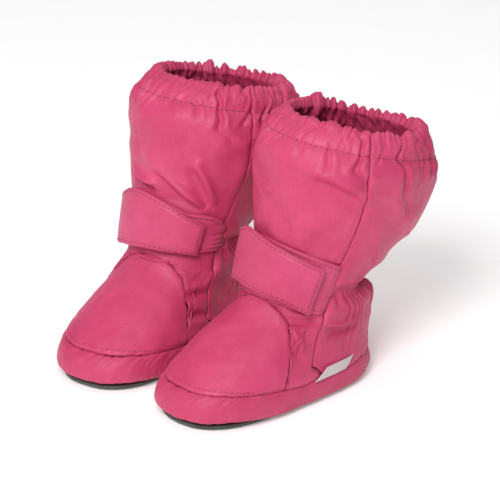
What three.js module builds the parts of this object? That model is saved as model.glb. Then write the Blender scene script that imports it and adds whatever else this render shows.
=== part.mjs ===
// A pair of baby snow booties: padded taslan uppers with a gathered elastic cuff,
// a sewn-on foot band, a thin rubber outsole and a hook-and-loop ankle strap.
// Millimetres, +Z up, toes toward -Y, heels toward +Y.
import * as THREE from 'three';

// ---- driving sizes ---------------------------------------------------------
const SOLE_LENGTH = 133;        // outside length of one bootie at the foot band
const SOLE_WIDTH = 71;          // outside width at the foot band
const BOOT_HEIGHT = 150;        // ground to the front of the cuff, before the fold
const CUFF_WIDTH = 92.6;        // widest part of the shaft, side to side
const SHELL = 1.0;              // outer fabric with its backing
const WADDING = 3.0;            // quilt wadding between shell and lining
const LINING = 1.2;             // brushed lining
const LAYER_GAP = 1.0;          // free room between shell and wadding
const LINING_GAP = 0.55;        // free room between wadding and lining
const SEAM_GAP = 0.35;          // room left along a sewn edge
const BAND_THICK = 1.2;         // foot band fabric
const OUTSOLE_THICK = 3.0;
const BOARD_THICK = 2.0;
const INSOLE_THICK = 4.0;
const STACK_GAP = 0.35;         // room between the stacked sole layers
const INSOLE_ROOM = 1.6;        // room between the insole's edge and the lining
const FOLD_DEPTH = 16;          // how far the cuff hem is turned down inside
const CUFF_ELASTIC = 8;         // width of the elastic in the cuff channel
const ANKLE_ELASTIC = 7;        // width of the elastic behind the ankle
const STRAP_THICK = 1.2;
const TAPE_THICK = 0.8;         // hook tape and loop tape
const STRAP_GAP = 0.45;         // room between the strap layers
const STRAP_STANDOFF = 3.0;     // how far the flap bows off the ankle
const PAIR_ROOM = 0.3;          // room left between the two cuffs
const PAIR_BACK = -8;           // second bootie, fore and aft
const PAIR_TURN = 12;           // second bootie, turned, degrees

// ---- the outside of one bootie --------------------------------------------
// Each slice: front y, front z, back y, back z, half width, roundness of the
// front half, roundness of the back half, widening toward the toes.
const SLICES = [
  [-66, 2.6, 64, 1, 33.5, 2.45, 3.8, 0.04],
  [-68.5, 8, 64.5, 7, 35.5, 2.45, 3.8, 0.04],
  [-64.5, 18.5, 64.5, 16, 34.5, 2.4, 3.4, 0.03],
  [-48, 29, 66.5, 26, 31.5, 2.2, 2.9, 0.02],
  [-30, 38, 68.5, 36, 29.5, 2.2, 2.6, 0],
  [-12, 47, 66.5, 45, 29, 2.1, 2.4, 0],
  [-2, 61, 57, 52, 29.5, 2, 2.2, 0],
  [3, 78, 61, 54, 31.5, 2, 2, 0],
  [5, 93, 76.5, 60, 36, 2, 2, 0],
  [7, 114, 96, 76, 43, 2, 2, 0],
  [9, 134, 111.5, 101, 46.3, 2, 2, 0],
  [26.5, 149, 106.5, 126.5, 38.5, 2, 2, 0],
];
const BAND_TOP = 2;             // slice where the foot band meets the upper
const RIM = SLICES.length - 1;  // slice at the cuff rim

// Side seam and vamp seam: angle from the toe, degrees, against slice number.
const SIDE_SEAM = [
  [1.9, 91.5], [2, 91], [3, 87], [4, 80.5], [5, 74.5], [6, 74],
  [7, 72], [8, 69.5], [9, 65.5], [10, 61.5], [11, 58.5],
];
const VAMP_EDGE = 78;           // where the vamp seam runs out at the foot band
const VAMP_SEAM = [
  [0, 5.45], [14, 5.4], [30, 5.15], [44, 4.75], [54, 4.2], [66, 3.3], [75, 2.35], [VAMP_EDGE, 2.12],
];
// Base strip of the strap: lower and upper edge as slice numbers against angle.
const BASE_LOW_EDGE = [[-75, 5.0], [-60, 5.2], [-30, 5.5], [0, 5.6], [30, 5.5], [60, 5.2], [75, 5.0]];
const BASE_HIGH_EDGE = [[-75, 7.3], [-20, 7.6], [0, 7.6], [30, 7.5], [75, 7.4]];
// Flap: lower and upper edge as shares of the base strip's height against angle.
const FLAP_FROM = [[-80, 0.12], [-16, 0.12], [-3, 0.09], [39, 0.06], [58, 0]];
const FLAP_TO = [[-80, 0.9], [-50, 0.98], [-20, 1.05], [0, 0.97], [26, 0.91], [58, 0.85]];
const STRAP_END = 58;           // free end of the flap
const STRAP_BREAK = -5;         // where the flap folds when it is peeled
const STRAP_ROOT = -80;         // sewn end of the flap
// Every strap layer is cut on these columns, so the layers stay parallel.
const STRAP_COLUMNS = [
  STRAP_ROOT, -77, -72, -66, -58, -50, -41, -32, -23, -14, 0, 12, 19, 26, 33, 40, 47, 54, STRAP_END, 65, 72,
];

const DEG = Math.PI / 180;

function lerp(a, b, t) {
  return a + (b - a) * t;
}

function follow(table, x) {
  if (x <= table[0][0]) return table[0][1];
  for (let i = 1; i < table.length; i++) {
    const [x0, y0] = table[i - 1];
    const [x1, y1] = table[i];
    if (x <= x1) return lerp(y0, y1, (x - x0) / (x1 - x0));
  }
  return table[table.length - 1][1];
}

function sizedSlice(index) {
  const [fy, fz, by, bz, w, nf, nb, k] = SLICES[index];
  const ky = SOLE_LENGTH / 133;
  const kz = index > BAND_TOP ? (BOOT_HEIGHT - 17) / 133 : 1;
  const up = index > BAND_TOP ? 17 : 0;
  const sole = SOLE_WIDTH / 71;
  const cuff = CUFF_WIDTH / 92.6;
  const kx = lerp(sole, cuff, Math.min(1, Math.max(0, (index - 5) / 4)));
  return [fy * ky, up + (fz - up) * kz, by * ky, up + (bz - up) * kz, w * kx, nf, nb, k];
}

const SIZED = SLICES.map((_, i) => sizedSlice(i));

// Smooth curve through the slices.
function slice(s) {
  const top = SIZED.length - 1;
  const u = Math.min(Math.max(s, 0), top - 1e-9);
  const i = Math.floor(u);
  const t = u - i;
  const p = SIZED[Math.max(i - 1, 0)];
  const q = SIZED[i];
  const r = SIZED[i + 1];
  const v = SIZED[Math.min(i + 2, top)];
  return q.map((_, n) => 0.5 * (2 * q[n] + (r[n] - p[n]) * t
    + (2 * p[n] - 5 * q[n] + 4 * r[n] - v[n]) * t * t
    + (3 * q[n] - p[n] - 3 * r[n] + v[n]) * t * t * t));
}

function skin(angle, s) {
  const [fy, fz, by, bz, w, nf, nb, k] = slice(s);
  const c = Math.cos(angle * DEG);
  const sn = Math.sin(angle * DEG);
  const n = c > 0 ? nf : nb;
  const my = (fy + by) / 2;
  const mz = (fz + bz) / 2;
  const q = Math.abs(c) ** (2 / n);
  const ey = c > 0 ? fy : by;
  const ez = c > 0 ? fz : bz;
  const x = w * (1 + k * c) * Math.sign(sn) * Math.abs(sn) ** (2 / n);
  return new THREE.Vector3(x, my + (ey - my) * q, mz + (ez - mz) * q);
}

function outward(angle, s) {
  const lo = Math.max(s - 0.05, 0);
  const hi = Math.min(s + 0.05, RIM);
  const across = skin(angle + 0.6, s).sub(skin(angle - 0.6, s));
  const along = skin(angle, hi).sub(skin(angle, lo));
  return across.cross(along).normalize();
}

// Point at a distance off the outside surface; negative is inside.
// Slide moves the point sideways along the surface, counter-clockwise from above.
function at(angle, s, off, slide = 0) {
  const p = skin(angle, s).addScaledVector(outward(angle, s), off);
  if (slide === 0) return p;
  const across = skin(angle + 0.6, s).sub(skin(angle - 0.6, s)).normalize();
  return p.addScaledVector(across, slide);
}

// ---- builders ---------------------------------------------------------------
function solid(points, faces, name, colour, roughness) {
  const geometry = new THREE.BufferGeometry();
  const flat = points.flatMap((p) => [p.x, p.y, p.z]);
  geometry.setAttribute('position', new THREE.Float32BufferAttribute(flat, 3));
  geometry.setIndex(faces);
  geometry.computeVertexNormals();
  const material = new THREE.MeshStandardMaterial({ color: colour, roughness, metalness: 0 });
  const mesh = new THREE.Mesh(geometry, material);
  mesh.name = name;
  return mesh;
}

// A sheet with thickness. Each column holds an outer run and an inner run of the
// same length; the columns go round counter-clockwise seen from above.
function sheet(columns, closed, name, colour, roughness = 0.8) {
  const rows = columns[0].outer.length;
  const ring = 2 * rows;
  const points = columns.flatMap((c) => [...c.outer, ...[...c.inner].reverse()]);
  const faces = [];
  const quad = (a, b, c, d) => faces.push(a, b, c, a, c, d);
  const count = columns.length;
  const last = closed ? count : count - 1;
  for (let i = 0; i < last; i++) {
    const a = i * ring;
    const b = ((i + 1) % count) * ring;
    for (let j = 0; j < ring; j++) {
      const k = (j + 1) % ring;
      // Both faces split each quad along the same diagonal, so layers stay parallel.
      if (j < rows) quad(a + j, b + j, b + k, a + k);
      else quad(b + j, b + k, a + k, a + j);
    }
  }
  if (!closed) {
    const e = (count - 1) * ring;
    for (let j = 0; j < rows - 1; j++) {
      quad(j, j + 1, ring - 2 - j, ring - 1 - j);
      quad(e + j + 1, e + j, e + ring - 1 - j, e + ring - 2 - j);
    }
  }
  return solid(points, faces, name, colour, roughness);
}

// A flat slab: rings of equal length from the lowest to the highest, closed with
// a middle point below and above.
function slab(rings, name, colour, roughness) {
  const n = rings[0].length;
  const points = rings.flat();
  const faces = [];
  for (let r = 0; r < rings.length - 1; r++) {
    for (let i = 0; i < n; i++) {
      const j = (i + 1) % n;
      const a = r * n;
      const b = a + n;
      faces.push(a + i, a + j, b + j, a + i, b + j, b + i);
    }
  }
  const low = points.length;
  const high = low + 1;
  const top = (rings.length - 1) * n;
  points.push(new THREE.Vector3(0, 0, rings[0][0].z));
  points.push(new THREE.Vector3(0, 0, rings[rings.length - 1][0].z));
  for (let i = 0; i < n; i++) {
    const j = (i + 1) % n;
    faces.push(low, j, i);
    faces.push(high, top + i, top + j);
  }
  return solid(points, faces, name, colour, roughness);
}

function spread(from, to, steps) {
  return Array.from({ length: steps + 1 }, (_, i) => lerp(from, to, i / steps));
}

const AROUND = spread(-180, 180, 32).slice(0, 32);
const AROUND_INSIDE = spread(-180, 180, 24).slice(0, 24);

// Foot outline at slice s, drawn in by a distance, laid flat at height z.
function outline(s, inset, z) {
  return AROUND.map((angle) => {
    const p = skin(angle, s);
    const n = outward(angle, s).setZ(0).normalize();
    return new THREE.Vector3(p.x - n.x * inset, p.y - n.y * inset, z);
  });
}

const PINK = 0xdc5c86;
const PINK_DEEP = 0xcb4a73;
const PINK_BAND = 0xc54570;
const LINING_PINK = 0xb05a78;
const WADDING_WHITE = 0xeae6e2;
const ELASTIC_WHITE = 0xe4e0dc;
const RUBBER = 0x464b46;
const BOARD_TAN = 0xb79b76;
const FELT = 0x8a8680;
const HOOK = 0xc2406c;
const LABEL_GREY = 0xc6b7ba;

// ---- sole stack ---------------------------------------------------------------
const OUTSOLE_TOP = OUTSOLE_THICK;
const FLANGE_LOW = OUTSOLE_TOP + STACK_GAP;
const FLANGE_TOP = FLANGE_LOW + BAND_THICK;
const BOARD_LOW = FLANGE_TOP + STACK_GAP;
const BOARD_TOP = BOARD_LOW + BOARD_THICK;
const INSOLE_LOW = BOARD_TOP + STACK_GAP;
const INSOLE_TOP = INSOLE_LOW + INSOLE_THICK;

function outsole(side) {
  const rings = [
    outline(0, BAND_THICK + 2.2, 0),
    outline(0, BAND_THICK + 0.5, 1.2),
    outline(0, BAND_THICK + 0.5, OUTSOLE_TOP),
  ];
  return slab(rings, `${side}_outsole`, RUBBER, 0.85);
}

function insoleBoard(side) {
  const rings = [
    outline(0, BAND_THICK + 0.7, BOARD_LOW),
    outline(0, BAND_THICK + 0.7, BOARD_TOP),
  ];
  return slab(rings, `${side}_insole_board`, BOARD_TAN, 0.9);
}

const WADDING_OUT = SHELL + LAYER_GAP;
const WADDING_IN = WADDING_OUT + WADDING;
const LINING_OUT = WADDING_IN + LINING_GAP;
const LINING_IN = LINING_OUT + LINING;

function insole(side) {
  const rings = [
    outline(1, LINING_IN + INSOLE_ROOM, INSOLE_LOW),
    outline(1, LINING_IN + INSOLE_ROOM, INSOLE_TOP - 1),
    outline(1, LINING_IN + INSOLE_ROOM + 1, INSOLE_TOP),
  ];
  return slab(rings, `${side}_insole`, FELT, 0.95);
}

// Foot band: up the side of the foot, with a turned-in edge over the outsole.
function soleBand(side) {
  const heights = [0, 0.5, 1, BAND_TOP - 0.02];
  const columns = AROUND.map((angle) => {
    const outer = heights.map((s) => at(angle, s, 0));
    const inner = heights.map((s) => at(angle, s, -BAND_THICK));
    const low = at(angle, 0, 0);
    const n = outward(angle, 0).setZ(0).normalize();
    const reach = (inset, z) => new THREE.Vector3(low.x - n.x * inset, low.y - n.y * inset, z);
    const loop = [reach(9, FLANGE_LOW), reach(BAND_THICK, FLANGE_LOW), reach(BAND_THICK, low.z)];
    const back = [reach(9, FLANGE_TOP), reach(BAND_THICK + 0.1, FLANGE_TOP)];
    return {
      outer: [...loop, low, ...outer.slice(1)],
      inner: [back[0], back[1], reach(BAND_THICK + 0.05, FLANGE_TOP + 0.1),
        reach(BAND_THICK, FLANGE_TOP + 0.2), ...inner.slice(1)],
    };
  });
  return sheet(columns, true, `${side}_sole_band`, PINK_BAND);
}

// ---- upper ----------------------------------------------------------------------
// Cuff hem: over the rim and back down inside, as distance along and depth.
function hem(angle, thickness, slide) {
  const up = skin(angle, RIM).sub(skin(angle, RIM - 0.05)).normalize();
  const out = outward(angle, RIM);
  const rim = at(angle, RIM, 0, slide);
  const middle = (LINING_OUT + SHELL) / 2;
  const radius = middle - thickness;
  const turn = spread(0, 180, 4).map((a) => rim.clone()
    .addScaledVector(out, -middle + radius * Math.cos(a * DEG))
    .addScaledVector(up, radius * Math.sin(a * DEG)));
  const inside = -2 * middle + thickness;
  const lower = RIM - FOLD_DEPTH / 16;
  return [...turn, at(angle, (RIM + lower) / 2, inside, slide), at(angle, lower, inside, slide)];
}

const BOTTOM_EDGE = BAND_TOP + 0.03;
const LOW_ROWS = [BOTTOM_EDGE, 3, 4, 5];
const UPPER_ROWS = [5.5, 6, 6.5, 7, 8, 9, 10, 10.5];

function panelColumn(angleAt, lowRows, slide) {
  const fractions = [...lowRows, ...UPPER_ROWS];
  const rim = angleAt(RIM);
  return {
    outer: [...fractions.map((s) => at(angleAt(s), s, 0, slide)), ...hem(rim, 0, slide)],
    inner: [...fractions.map((s) => at(angleAt(s), s, -SHELL, slide)), ...hem(rim, SHELL, slide)],
  };
}

function vampTop(angle) {
  const turn = Math.abs(angle);
  return turn > VAMP_EDGE ? 0 : follow(VAMP_SEAM, turn);
}

// Columns of the vamp, degrees from the toe; the front panel meets it on the same ones.
const VAMP_COLUMNS = [0, 10, 20, 30, 40, 49, 58, 67, 77];

function mirrored(list) {
  return [...list.slice(1).reverse().map((v) => -v), ...list];
}

function frontPanel(side) {
  const above = VAMP_COLUMNS.map((angle) => angle / follow(SIDE_SEAM, vampTop(angle)));
  const columns = mirrored([...above, 0.88, 0.94, 1]).map((f) => {
    const angleAt = (s) => f * follow(SIDE_SEAM, s);
    let start = BOTTOM_EDGE;
    for (let s = 5.45; s > BOTTOM_EDGE; s -= 0.01) {
      if (s < vampTop(angleAt(s)) + 0.03) {
        start = s;
        break;
      }
    }
    const share = (5.5 - start) / (5.5 - BOTTOM_EDGE);
    const slide = Math.abs(f) === 1 ? -f * SEAM_GAP / 2 : 0;
    return panelColumn(angleAt, LOW_ROWS.map((s) => 5.5 - (5.5 - s) * share), slide);
  });
  return sheet(columns, false, `${side}_front_panel`, PINK);
}

function backPanel(side) {
  const columns = spread(0, 1, 18).map((f) => {
    const angleAt = (s) => {
      const edge = follow(SIDE_SEAM, s);
      return lerp(edge, 360 - edge, f);
    };
    const slide = f === 0 ? SEAM_GAP / 2 : f === 1 ? -SEAM_GAP / 2 : 0;
    return panelColumn(angleAt, LOW_ROWS, slide);
  });
  return sheet(columns, false, `${side}_back_panel`, PINK_DEEP);
}

function vamp(side) {
  const columns = mirrored(VAMP_COLUMNS).map((angle) => {
    const rows = spread(BOTTOM_EDGE, vampTop(angle) - 0.03, 5);
    return {
      outer: rows.map((s) => at(angle, s, 0)),
      inner: rows.map((s) => at(angle, s, -SHELL)),
    };
  });
  return sheet(columns, false, `${side}_vamp`, PINK);
}

// Lowest slice where both faces of the padded tube are above a height all round.
function liningAbove(z) {
  const lowest = (s, off) => Math.min(...AROUND.map((angle) => at(angle, s, off).z));
  let s = 0.5;
  while (lowest(s, -LINING_IN) < z || lowest(s, -WADDING_OUT) < z) s += 0.01;
  return s;
}

const TUBE_ROWS = [liningAbove(INSOLE_LOW), 2, 3, 4, 5, 5.5, 6, 6.5, 7, 8, 9];

// The wadding is pressed thinner where the ankle elastic lies on it.
function waddingOuter(s) {
  return s > 5.2 && s < 6.9 ? WADDING_OUT + 1.5 : WADDING_OUT;
}

function wadding(side) {
  const rows = [...TUBE_ROWS, 10];
  const columns = AROUND_INSIDE.map((angle) => ({
    outer: rows.map((s) => at(angle, s, -waddingOuter(s))),
    inner: rows.map((s) => at(angle, s, -WADDING_IN)),
  }));
  return sheet(columns, true, `${side}_wadding`, WADDING_WHITE, 0.95);
}

function lining(side) {
  const rows = [...TUBE_ROWS, RIM - FOLD_DEPTH / 16 - 0.06];
  const columns = AROUND_INSIDE.map((angle) => ({
    outer: rows.map((s) => at(angle, s, -LINING_OUT)),
    inner: rows.map((s) => at(angle, s, -LINING_IN)),
  }));
  return sheet(columns, true, `${side}_lining`, LINING_PINK, 0.95);
}

function cuffElastic(side) {
  const top = RIM - 0.05;
  const rows = [top - CUFF_ELASTIC / 18, top];
  const columns = AROUND.map((angle) => ({
    outer: rows.map((s) => at(angle, s, -(SHELL + 0.9))),
    inner: rows.map((s) => at(angle, s, -(SHELL + 2.1))),
  }));
  return sheet(columns, true, `${side}_cuff_elastic`, ELASTIC_WHITE, 0.9);
}

function ankleElastic(side) {
  const half = ANKLE_ELASTIC / 2 / 9;
  const rows = [6 - half, 6, 6 + half];
  const columns = spread(77, 283, 20).map((angle) => ({
    outer: rows.map((s) => at(angle, s, -(SHELL + 0.35))),
    inner: rows.map((s) => at(angle, s, -(SHELL + 1.25))),
  }));
  return sheet(columns, false, `${side}_ankle_elastic`, ELASTIC_WHITE, 0.9);
}

// ---- strap ----------------------------------------------------------------------
// Every strap layer spans the hollow of the ankle in a straight line, so it lies flat.
// Share goes from 0 at the base strip's lower edge to 1 at its upper edge.
function onStrap(angle, share, off) {
  const out = outward(angle, 5.3).add(outward(angle, 7.3)).normalize();
  const bottom = skin(angle, follow(BASE_LOW_EDGE, angle));
  const top = skin(angle, follow(BASE_HIGH_EDGE, angle));
  return bottom.lerp(top, share).addScaledVector(out, off);
}

function strapPiece(angles, from, to, low, high, name, colour) {
  const columns = angles.map((angle) => {
    const shares = spread(from(angle), to(angle), 4);
    return {
      outer: shares.map((f) => onStrap(angle, f, high(angle))),
      inner: shares.map((f) => onStrap(angle, f, low(angle))),
    };
  });
  return sheet(columns, false, name, colour);
}

const BASE_LOW = STRAP_GAP + 0.2;
const BASE_HIGH = BASE_LOW + SHELL;
const LOOP_LOW = BASE_HIGH + STRAP_GAP;
const LOOP_HIGH = LOOP_LOW + TAPE_THICK;
const HOOK_LOW = LOOP_HIGH + STRAP_GAP;
const HOOK_HIGH = HOOK_LOW + TAPE_THICK;
const FLAP_LOW = HOOK_HIGH + STRAP_GAP;

// The flap bows away from the ankle between its sewn end and the hook tape.
function flapLow(angle) {
  const bow = [
    [STRAP_ROOT, STRAP_GAP], [-77, BASE_HIGH + 0.5], [-66, FLAP_LOW + STRAP_STANDOFF * 0.25],
    [-50, FLAP_LOW + STRAP_STANDOFF * 0.45], [-32, FLAP_LOW + STRAP_STANDOFF * 0.35],
    [-5, FLAP_LOW], [90, FLAP_LOW],
  ];
  return follow(bow, angle);
}

function flapShare(inset) {
  return [
    (angle) => lerp(follow(FLAP_FROM, angle), follow(FLAP_TO, angle), inset),
    (angle) => lerp(follow(FLAP_FROM, angle), follow(FLAP_TO, angle), 1 - inset),
  ];
}

function strapBase(side) {
  const flat = (v) => () => v;
  const sizes = [flat(0.02), flat(0.98), flat(BASE_LOW), flat(BASE_HIGH)];
  return strapPiece(STRAP_COLUMNS.filter((a) => Math.abs(a) <= 72), ...sizes, `${side}_strap_base`, PINK);
}

function tape(side, inset, low, high, name) {
  const columns = STRAP_COLUMNS.filter((angle) => angle >= 12 && angle <= 54);
  return strapPiece(columns, ...flapShare(inset), () => low, () => high, `${side}_${name}`, HOOK);
}

function loopTape(side) {
  return tape(side, 0.16, LOOP_LOW, LOOP_HIGH, 'loop_tape');
}

function hookTape(side) {
  return tape(side, 0.2, HOOK_LOW, HOOK_HIGH, 'hook_tape');
}

function flapPiece(side, angles, name) {
  const high = (angle) => flapLow(angle) + STRAP_THICK;
  return strapPiece(angles, ...flapShare(0), flapLow, high, `${side}_${name}`, PINK);
}

function strapRoot(side) {
  const columns = STRAP_COLUMNS.filter((angle) => angle < STRAP_BREAK);
  return flapPiece(side, [...columns, STRAP_BREAK - 0.4], 'strap_root');
}

function strapTip(side) {
  const columns = STRAP_COLUMNS.filter((angle) => angle > STRAP_BREAK && angle <= STRAP_END);
  return flapPiece(side, [STRAP_BREAK + 0.4, ...columns], 'strap_tip');
}

// Folded side label caught in the seam above the foot band.
function label(side) {
  const columns = spread(94, 109, 4).map((angle) => {
    const rows = spread(BAND_TOP + 0.08, BAND_TOP + 0.95, 2);
    return {
      outer: rows.map((s) => at(angle, s, 1.3)),
      inner: rows.map((s) => at(angle, s, 0.45)),
    };
  });
  return sheet(columns, false, `${side}_label`, LABEL_GREY, 0.5);
}

function bootie(side) {
  const boot = new THREE.Group();
  boot.name = `${side}_bootie`;
  const makers = [
    outsole, insoleBoard, insole, soleBand, vamp, frontPanel, backPanel, cuffElastic,
    ankleElastic, wadding, lining, strapBase, loopTape, strapRoot, strapTip, hookTape, label,
  ];
  for (const make of makers) boot.add(make(side));
  return boot;
}

const left = bootie('left');
const right = bootie('right');
const cuff = SIZED[10];
const cuffBack = (cuff[0] + cuff[2]) / 2 * Math.sin(PAIR_TURN * DEG);
right.position.set(cuffBack - CUFF_WIDTH - PAIR_ROOM, PAIR_BACK, 0);
right.rotation.z = PAIR_TURN * DEG;

const group = new THREE.Group();
group.name = 'baby_booties';
group.add(left, right);

// The origin is under the middle of the pair, on the ground.
const middle = new THREE.Box3().setFromObject(group, true).getCenter(new THREE.Vector3());
for (const boot of [left, right]) {
  boot.position.x -= middle.x;
  boot.position.y -= middle.y;
}
export default group;
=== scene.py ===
import math

import bpy
import numpy as np
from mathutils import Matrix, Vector


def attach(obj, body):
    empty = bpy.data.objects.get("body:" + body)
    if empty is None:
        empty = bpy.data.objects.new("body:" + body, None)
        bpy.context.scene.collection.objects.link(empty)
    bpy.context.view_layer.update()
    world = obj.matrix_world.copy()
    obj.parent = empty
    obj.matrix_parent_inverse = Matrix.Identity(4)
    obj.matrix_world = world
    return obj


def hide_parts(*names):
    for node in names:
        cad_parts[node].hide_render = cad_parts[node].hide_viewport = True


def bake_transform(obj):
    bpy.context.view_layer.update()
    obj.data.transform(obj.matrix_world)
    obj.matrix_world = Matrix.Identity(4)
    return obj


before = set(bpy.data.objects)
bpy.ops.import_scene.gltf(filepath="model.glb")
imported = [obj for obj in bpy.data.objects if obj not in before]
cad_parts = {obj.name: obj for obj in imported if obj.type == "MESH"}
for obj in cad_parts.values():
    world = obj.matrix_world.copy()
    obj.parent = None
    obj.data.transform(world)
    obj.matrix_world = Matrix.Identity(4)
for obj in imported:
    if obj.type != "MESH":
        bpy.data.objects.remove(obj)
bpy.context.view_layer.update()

MM = 0.001

# ---- the outside of one bootie, in millimetres ---------------------------------
# Each slice: front y, front z, back y, back z, half width, roundness of the front
# half, roundness of the back half, widening toward the toes.
SLICES = np.array([
    [-66, 2.6, 64, 1, 33.5, 2.45, 3.8, 0.04],
    [-68.5, 8, 64.5, 7, 35.5, 2.45, 3.8, 0.04],
    [-64.5, 18.5, 64.5, 16, 34.5, 2.4, 3.4, 0.03],
    [-48, 29, 66.5, 26, 31.5, 2.2, 2.9, 0.02],
    [-30, 38, 68.5, 36, 29.5, 2.2, 2.6, 0],
    [-12, 47, 66.5, 45, 29, 2.1, 2.4, 0],
    [-2, 61, 57, 52, 29.5, 2, 2.2, 0],
    [3, 78, 61, 54, 31.5, 2, 2, 0],
    [5, 93, 76.5, 60, 36, 2, 2, 0],
    [7, 114, 96, 76, 43, 2, 2, 0],
    [9, 134, 111.5, 101, 46.3, 2, 2, 0],
    [26.5, 149, 106.5, 126.5, 38.5, 2, 2, 0],
])
RIM = 11                      # slice at the cuff's edge
RIM_SLICE = 24.0              # millimetres from slice 10 to the rim
HEM_STITCH = 10.43            # slice of the stitch line under the elastic
HEM_MIDDLE = 3.275            # the hem folds round a line this far under the outside
CLOTH = 0.8                   # thickness of shell cloth with its backing
SIDE_SEAM = [(1.5, 92.5), (2, 92), (3, 87.5), (4, 81), (5, 74.4), (6, 74), (7, 72), (8, 69.5),
             (9, 65.5), (10, 61.5), (11, 58.5)]
VAMP_END = 78
VAMP_SEAM = [(0, 5.45), (14, 5.4), (30, 5.18), (44, 4.85), (56, 4.3), (67, 3.5), (75, 2.6), (78, 2.0)]
BAND_TOP = [(0, 2.2), (35, 2.14), (58, 2.0), (78, 1.82), (90, 1.7), (130, 1.8), (180, 1.85)]
# Base strip: lower and upper edge as slice numbers against angle. The other strap layers
# are placed by shares of its height.
BASE_LOW_EDGE = [(-75, 5.0), (-60, 5.2), (-30, 5.5), (0, 5.6), (30, 5.5), (60, 5.2), (75, 5.0)]
BASE_HIGH_EDGE = [(-75, 7.3), (-20, 7.6), (0, 7.6), (30, 7.5), (75, 7.4)]
FLAP_ROOT = -80
FLAP_BREAK = -5               # the flap would fold here if it were peeled open; nothing folds it
FLAP_CREASE = 7               # degrees each side of the break that would bend
ANKLE = 6.05                  # slice of the elastic behind the ankle
SHAFT_FROM = 5.5              # slice where the panels' even rows begin
SEAM_CLEAR = 0.006            # slices between a panel and the foot band
LINING_TOP = RIM - 1.07       # slice where the lining ends inside the hem
LINING_FACE = -6.7            # face of the lining, from the outside
WADDING_BACK = -3.4           # back of the wadding against the shell
SOLE_TOP = 3.0                # thickness of the outsole
BAND_TURN = 3.35              # height of the band's edge turned in over the outsole
PANEL_ALLOWANCE, BAND_ALLOWANCE, STRAP_ALLOWANCE, LABEL_ALLOWANCE = 5, 3, 4, 1.5

# The two booties. Creases run down from the cuff: angle, depth, reach below the stitch
# line and sideways drift. Folds are soft strokes: kind, width, depth, path of angle, slice.
# The flap's and the base's edges (from, to) are shares of the base strip's height, and
# flap_bow is how far the flap stands off. vamp_rise lifts the seam over the toes, in
# slices, and end_tucks is how deep the base strip is pinched where it is sewn down.
BOOTS = [
    {
        "side": "left", "origin": (46.561, -17.749, 0), "turn": 0, "seed": 5, "flap_end": 57,
        "flap_from": [(-80, 0.12), (-16, 0.12), (-3, 0.09), (39, 0.06), (58, 0)],
        "flap_to": [(-80, 0.9), (-50, 0.98), (-20, 1.05), (0, 0.97), (26, 0.91), (58, 0.85)],
        "flap_bow": [(-80, 0.45), (-77, 2.15), (-66, 5.35), (-50, 5.95), (-32, 5.65),
                     (-5, 4.6), (30, 4.4), (90, 4.2)],
        "base_from": [(-75, 0.02), (75, 0.02)], "base_to": [(-75, 1), (75, 1)],
        "vamp_rise": 0.14, "end_tucks": 0.35,
        "creases": [(-4, 0.8, 5, 0.1), (13, 0.7, 10, 0), (31, 0.9, 20, 0.4), (53, 1.7, 30, 0.25),
                    (68, 0.6, 6, 0), (84, 1.6, 40, 0.35), (101, 0.9, 14, 0)],
        "folds": [
            ("fold", 5.5, 1.5, [(22, 9.62), (40, 9.6), (56, 9.45), (67, 9.2)]),
            ("dent", 7.0, 1.6, [(34, 7.6), (48, 7.95), (62, 7.85)]),
            ("dent", 6.0, 1.4, [(90, 9.95), (102, 9.5), (113, 9.75)]),
            ("crease", 2.2, 1.3, [(36, 5.0), (60, 4.86), (72, 4.9)]),
            ("fold", 3.4, 1.4, [(50, 4.5), (66, 3.9), (80, 3.0)]),
            ("dent", 5.0, 0.9, [(-4, 8.6), (6, 8.2), (14, 7.8)]),
            ("crease", 1.9, 1.2, [(72, 5.75), (85, 6.3), (106, 6.5)]),
            ("fold", 3.0, 1.3, [(84, 4.3), (96, 3.9), (110, 3.8)]),
        ],
    },
    {
        "side": "right", "origin": (-33.812, -25.749, 0), "turn": 12, "seed": 11, "flap_end": 49,
        "flap_from": [(-80, 0.12), (-11, 0.13), (26, 0.19), (50, 0.26)],
        "flap_to": [(-80, 0.9), (-50, 1.02), (-21, 1.08), (6, 1.0), (33, 0.86), (50, 0.8)],
        "flap_bow": [(-80, 0.45), (-77, 1.9), (-66, 3.7), (-50, 4.2), (-32, 4.4),
                     (-5, 4.4), (30, 4.3), (90, 4.2)],
        "base_from": [(-75, 0.08), (-11, 0.17), (26, 0.23), (44, 0.28), (60, 0.34), (75, 0.44)],
        "base_to": [(-75, 1), (8, 1), (33, 0.93), (46, 0.97), (58, 0.98), (75, 0.86)],
        "vamp_rise": 0.24, "end_tucks": 1.0,
        "creases": [(-12, 0.8, 8, 0), (4, 0.7, 6, 0), (20, 0.8, 12, 0.3), (36, 1.8, 26, 0.4),
                    (58, 0.9, 18, 0), (72, 1.3, 30, -0.2)],
        "folds": [
            ("fold", 4.5, 1.7, [(-8, 8.5), (8, 8.15), (30, 7.7), (44, 7.5)]),
            ("fold", 4.0, 1.5, [(24, 8.85), (36, 8.4), (50, 7.75)]),
            ("crease", 2.4, 1.2, [(19, 5.5), (43, 5.45), (60, 5.3)]),
            ("crease", 2.2, 1.1, [(52, 4.2), (66, 4.0), (82, 3.85)]),
            ("crease", 2.0, 0.9, [(66, 3.2), (78, 2.95), (90, 2.7)]),
            ("dent", 8.0, 2.0, [(74, 9.6), (82, 8.8), (80, 8.0)]),
            ("fold", 3.2, 1.3, [(-40, 8.3), (-20, 8.0), (-4, 7.9)]),
            ("crease", 1.9, 1.2, [(66, 6.2), (80, 6.3), (106, 6.5)]),
        ],
    },
]


def follow(table, x):
    """Straight lines through a table."""
    x = np.asarray(x, float)
    return np.interp(x, [p[0] for p in table], [p[1] for p in table])


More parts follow.
